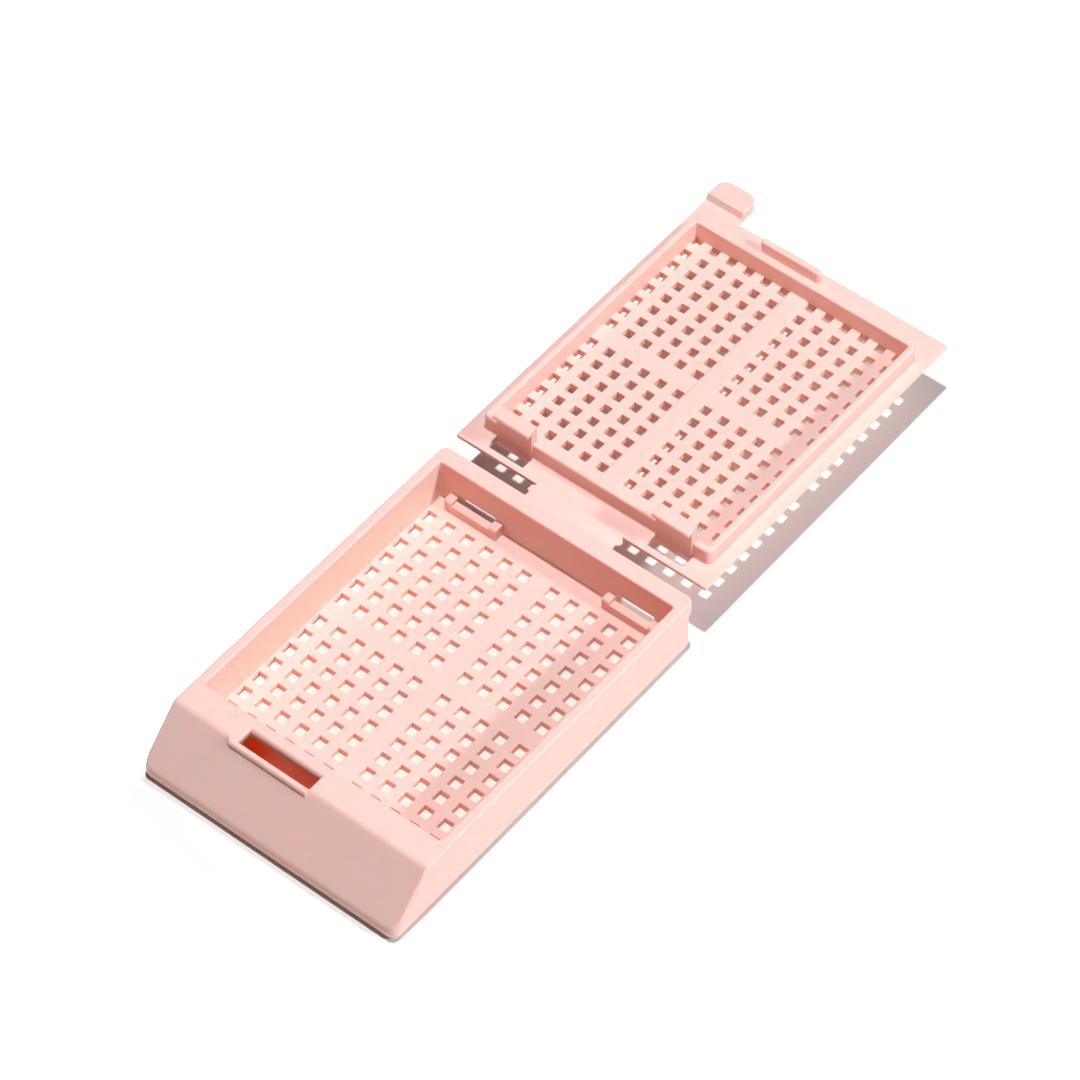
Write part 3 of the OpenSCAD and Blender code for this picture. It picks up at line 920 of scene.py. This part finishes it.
def acetalMaterial(name, color, redReach, translucent=1):
    # One finish of the same plastic, in the colour given, which for some finishes holds painted shade or
    # painted light: a cloudy tint, a fine grain, and light that travels inside
    material = bpy.data.materials.new(name)
    material.use_nodes = True
    tree = material.node_tree
    shader = tree.nodes["Principled BSDF"]
    place = tree.nodes.new("ShaderNodeTexCoord").outputs["Object"]
    tint = tree.nodes.new("ShaderNodeGroup")
    tint.node_tree = flowTint
    tint.inputs["Base"].default_value = (*acetal[color], 1)
    tint.inputs["Tint"].default_value = (*(a * b for a, b in zip(acetal[color], acetal["tintShift"])), 1)
    tint.inputs["Scale"].default_value = acetal["tintScale"]
    tint.inputs["Amount"].default_value = acetal["tintAmount"]
    grain = tree.nodes.new("ShaderNodeGroup")
    grain.node_tree = mouldGrain
    grain.inputs["Grain"].default_value = acetal["grain"]
    grain.inputs["Grain Depth"].default_value = acetal["grainDepth"]
    grain.inputs["Wave"].default_value = acetal["wave"]
    grain.inputs["Rough Low"].default_value = acetal["roughLow"]
    grain.inputs["Rough High"].default_value = acetal["roughHigh"]
    bump = tree.nodes.new("ShaderNodeBump")
    bump.inputs["Distance"].default_value = acetal["bump"]
    tree.links.new(place, tint.inputs["Vector"])
    tree.links.new(place, grain.inputs["Vector"])
    tree.links.new(tint.outputs["Color"], shader.inputs["Base Color"])
    tree.links.new(grain.outputs["Roughness"], shader.inputs["Roughness"])
    tree.links.new(grain.outputs["Height"], bump.inputs["Height"])
    tree.links.new(bump.outputs["Normal"], shader.inputs["Normal"])
    shader.inputs["IOR"].default_value = acetal["gloss"]
    shader.inputs["Subsurface Weight"].default_value = translucent
    shader.inputs["Subsurface Radius"].default_value = (redReach, 1, acetal["blueReach"])
    shader.inputs["Subsurface Scale"].default_value = acetal["reach"]
    return material


def wear(obj, material):
    obj.data.materials.clear()
    obj.data.materials.append(material)


# Limits that pick the faces which get painted shade or painted light
paintedLightMasks = {
    "squarely": 0.85,            # a face turned this much to one side belongs to a wall on that side
    "level": 0.5,                # a face turned this much up or down is no wall of a hole
    "slack": 0.1,
    "holeEdge": 0.3,             # from the walls to where the small holes' faces may start
    "wallSkin": 0.7,             # faces nearer than this to the writing face are its outer ones
}


def trayFinishAndPaintedLight(normal, x, y, z):
    # Which finish a face of the tray has, from its direction and its middle: body and strap are the
    # plastic's own colour, hollow, hole and wall are painted shade, and side is painted light
    inside = tray["half"] - tray["sideWall"]
    hollowRear = -tray["chamber"] - tray["frontWall"] + paintedLightMasks["slack"]
    hollowTop = rim - tray["ledgeWall"] + paintedLightMasks["slack"]
    across = abs(x)
    onStrap = across < strap["halfWidth"] and z > rim - strap["thick"]
    if onStrap and shared["rimDepth"] - tray["rimRound"] < y < strap["fromTray"]:
        return "strap"
    inHollow = y < hollowRear and z < hollowTop and across < inside + paintedLightMasks["slack"]
    if inHollow and faceDepth(y, z) > paintedLightMasks["wallSkin"]:
        return "hollow"
    inFloor = tray["floorUnder"] < z < tray["floorTop"]
    if inFloor and abs(normal.z) < paintedLightMasks["level"] and across < inside + paintedLightMasks["slack"] - paintedLightMasks["holeEdge"]:
        return "hole"
    onSide = abs(across - inside) < paintedLightMasks["slack"] and z > tray["floorTop"]
    if onSide and abs(normal.x) > paintedLightMasks["squarely"]:
        return "side"
    isWall = normal.y < -paintedLightMasks["squarely"] and y > tray["front"] + tray["faceRound"]
    return "wall" if isWall else "body"


def lidFinishAndPaintedLight(normal, x, y, z):
    # The same for the lid: its hole and wall finishes are painted shade
    across, edge = abs(x), paintedLightMasks["holeEdge"]
    onStrap = across < strap["halfWidth"] and z > rim - strap["thick"]
    if onStrap and strap["toLid"] < y < lid["near"] + lid["edge"]:
        return "strap"
    inPanel = across < lid["frameHalf"] - edge and lid["frameNear"] + edge < y < lid["frameFar"] - edge
    if inPanel and lid["panelUnder"] < z < lid["gridTop"] and abs(normal.z) < paintedLightMasks["level"]:
        return "hole"
    isWall = normal.y < -paintedLightMasks["squarely"] and z > rim and y < lid["frameFar"]
    return "wall" if isWall else "body"


def wearShell(obj, finishAndPaintedLightOf):
    # Each face gets the finish of its place, some of which carry painted shade or painted light
    names = list(finishesAndPaintedLight)
    obj.data.materials.clear()
    for name in names:
        obj.data.materials.append(finishesAndPaintedLight[name])
    for face in obj.data.polygons:
        x, y, z = face.center / mm
        face.material_index = names.index(finishAndPaintedLightOf(face.normal, x, y - rearWallY, z))


# Body and strap have the plastic's own colour; the wall, hole and hollow copies carry painted shade, and the
# side copy painted light
finishesAndPaintedLight = {
    "body": acetalMaterial("bodyAcetal", "body", acetal["redReach"]),
    "wall": acetalMaterial("wallPaintedShade", "wall", acetal["wallReach"]),
    "side": acetalMaterial("sidePaintedLight", "side", acetal["redReach"]),
    "hole": acetalMaterial("holePaintedShade", "hole", acetal["redReach"]),
    "hollow": acetalMaterial("hollowPaintedShade", "hollow", acetal["hollowReach"]),
    "strap": acetalMaterial("strapAcetal", "body", 1, 0),
}
wearShell(trayPiece, trayFinishAndPaintedLight)
wearShell(lidPiece, lidFinishAndPaintedLight)
wear(strapPiece, finishesAndPaintedLight["strap"])
print("materials made")


studio = {
    "floorSize": 1.2,            # metres
    "floorDrop": 0.01,           # millimetres from the cassette's feet down to the table
    "floorColor": 0.9,
    "floorSeen": -0.06,          # added to its colour for the camera only; being below zero, it darkens the table near the cassette for the camera, painted shade that deepens the shadows there
    "floorLift": 0.35,           # and this too, on the left, where the side lamp is hidden, and far away: painted light that paints out the side lamp's shadow on the left
    "liftLeft": (-13.8, -14.8),  # between these places, in millimetres
    "liftFar": (46.0, 60.0),
    "glowFar": (80.0, 160.0),    # beyond, where the lamps fade, the table shows plain white to the camera
    "keyPlace": (1.6, 9.0, 420.0),   # millimetres, high over the lid
    "keySize": 0.02,             # metres, as the side lamp's size and distance
    "keyPower": 1.51,
    "sideElevation": 33,         # degrees
    "sideTurn": 12,              # degrees from the right towards the rear
    "sideDistance": 0.5,
    "sideSize": 0.05,
    "sidePower": 1.4,
    "worldStrength": 0.02,
}
pad = {
    "gap": 0.2,                  # from its sides and its front to the walls
    "rear": 1.7,                 # from its rear to the rear wall
    "top": tray["floorUnder"] - 0.02,
    "corner": 0.5,
    "round": 0.05,
    # painted light: the pink tint stands in for the pink light that the plastic throws onto the table under
    # its floor
    "color": (0.93, 0.84, 0.82, 1),
}


def ramp(tree, value, span):
    # 0 to 1 between two places, given in millimetres
    node = tree.nodes.new("ShaderNodeMapRange")
    node.inputs["From Min"].default_value = span[0] * mm
    node.inputs["From Max"].default_value = span[1] * mm
    tree.links.new(value, node.inputs["Value"])
    return node.outputs["Result"]


def makeFloor():
    half = studio["floorSize"] / 2
    mesh = bpy.data.meshes.new("table")
    z = -studio["floorDrop"] * mm
    corners = [(-half, -half, z), (half, -half, z), (half, half, z), (-half, half, z)]
    mesh.from_pydata(corners, [], [(0, 1, 2, 3)])
    ground = bpy.data.objects.new("table", mesh)
    bpy.context.scene.collection.objects.link(ground)
    material = bpy.data.materials.new("tableTop")
    material.use_nodes = True
    tree = material.node_tree
    matt = tree.nodes.new("ShaderNodeBsdfDiffuse")
    seen = tree.nodes.new("ShaderNodeLightPath").outputs["Is Camera Ray"]
    spot = tree.nodes.new("ShaderNodeTexCoord").outputs["Object"]
    axes = tree.nodes.new("ShaderNodeSeparateXYZ")
    tree.links.new(spot, axes.inputs[0])
    away = tree.nodes.new("ShaderNodeVectorMath")
    away.operation = "LENGTH"
    tree.links.new(spot, away.inputs[0])
    # Painted light and shade for the camera: the table is lifted on the left, painting out the side lamp's
    # shadow, and far away, and darkened near the cassette, deepening its shadows
    lift = mathNode(tree, "MAXIMUM", ramp(tree, axes.outputs["X"], studio["liftLeft"]),
                    ramp(tree, away.outputs["Value"], studio["liftFar"]))
    lift = mathNode(tree, "ADD", mathNode(tree, "MULTIPLY", lift, studio["floorLift"]), studio["floorSeen"])
    extra = mathNode(tree, "MULTIPLY", seen, lift)
    tree.links.new(mathNode(tree, "ADD", extra, studio["floorColor"]), matt.inputs["Color"])
    glow = tree.nodes.new("ShaderNodeEmission")
    tree.links.new(mathNode(tree, "MULTIPLY", seen, ramp(tree, away.outputs["Value"], studio["glowFar"])),
                   glow.inputs["Strength"])
    both = tree.nodes.new("ShaderNodeAddShader")
    tree.links.new(matt.outputs["BSDF"], both.inputs[0])
    tree.links.new(glow.outputs["Emission"], both.inputs[1])
    tree.links.new(both.outputs["Shader"], tree.nodes["Material Output"].inputs["Surface"])
    wear(ground, material)


def makePad():
    # A low pale pad that fills the hollow under the tray's floor, as seen through its holes; its pink tint
    # is painted light
    half, front = tray["half"] - tray["sideWall"] - pad["gap"], -tray["chamber"] + pad["gap"]
    solid = block(-half, half, front, -pad["rear"], 0, pad["top"], pad["corner"], pad["round"], 0)
    piece = place(asObject("table_pad", solid))
    material = bpy.data.materials.new("padTop")
    material.use_nodes = True
    tree = material.node_tree
    matt = tree.nodes.new("ShaderNodeBsdfDiffuse")
    matt.inputs["Color"].default_value = pad["color"]
    tree.links.new(matt.outputs["BSDF"], tree.nodes["Material Output"].inputs["Surface"])
    wear(piece, material)


def areaLamp(name, location, target, size, power):
    # A round lamp turned to its target
    data = bpy.data.lights.new(name, "AREA")
    data.shape = "DISK"
    data.size = size
    data.energy = power
    lamp = bpy.data.objects.new(name, data)
    bpy.context.scene.collection.objects.link(lamp)
    lamp.location = location
    lamp.rotation_mode = "QUATERNION"
    lamp.rotation_quaternion = (Vector(target) - Vector(location)).to_track_quat("-Z", "Y")


def lightStage():
    key = Vector(studio["keyPlace"]) * mm
    areaLamp("keyLamp", key, (key.x, key.y, 0), studio["keySize"], studio["keyPower"])
    rise, turn = math.radians(studio["sideElevation"]), math.radians(studio["sideTurn"])
    toSide = Vector((math.cos(rise) * math.cos(turn), math.cos(rise) * math.sin(turn), math.sin(rise)))
    areaLamp("sideLamp", toSide * studio["sideDistance"], (0, 0, 0), studio["sideSize"], studio["sidePower"])
    world = bpy.data.worlds.new("studioWorld")
    bpy.context.scene.world = world
    world.use_nodes = True
    sky = world.node_tree.nodes["Background"]
    sky.inputs["Color"].default_value = (1, 1, 1, 1)
    seen = world.node_tree.nodes.new("ShaderNodeLightPath").outputs["Is Camera Ray"]
    strength = mathNode(world.node_tree, "MAXIMUM", seen, studio["worldStrength"])
    world.node_tree.links.new(strength, sky.inputs["Strength"])


makeFloor()
makePad()
lightStage()

view = {
    "azimuth": 38.75,
    "elevation": 51.13,
    "aim": (2.085, -6.601, 11.53),   # the point that it looks at, in millimetres
    "distance": 430.6,
    "lens": 162.62,
    "sensor": 36,
    "clip": (0.01, 10),              # metres
}


def placeCamera():
    data = bpy.data.cameras.new("camera")
    data.lens = view["lens"]
    data.sensor_width = view["sensor"]
    data.clip_start, data.clip_end = view["clip"]
    camera = bpy.data.objects.new("camera", data)
    bpy.context.scene.collection.objects.link(camera)
    a, e = math.radians(view["azimuth"]), math.radians(view["elevation"])
    back = Vector((math.sin(a) * math.cos(e), -math.cos(a) * math.cos(e), math.sin(e)))
    camera.location = (Vector(view["aim"]) + back * view["distance"]) * mm
    camera.rotation_mode = "QUATERNION"
    camera.rotation_quaternion = (-back).to_track_quat("-Z", "Y")
    bpy.context.scene.camera = camera


placeCamera()
bpy.context.scene.view_settings.view_transform = "Standard"
print("studio made")
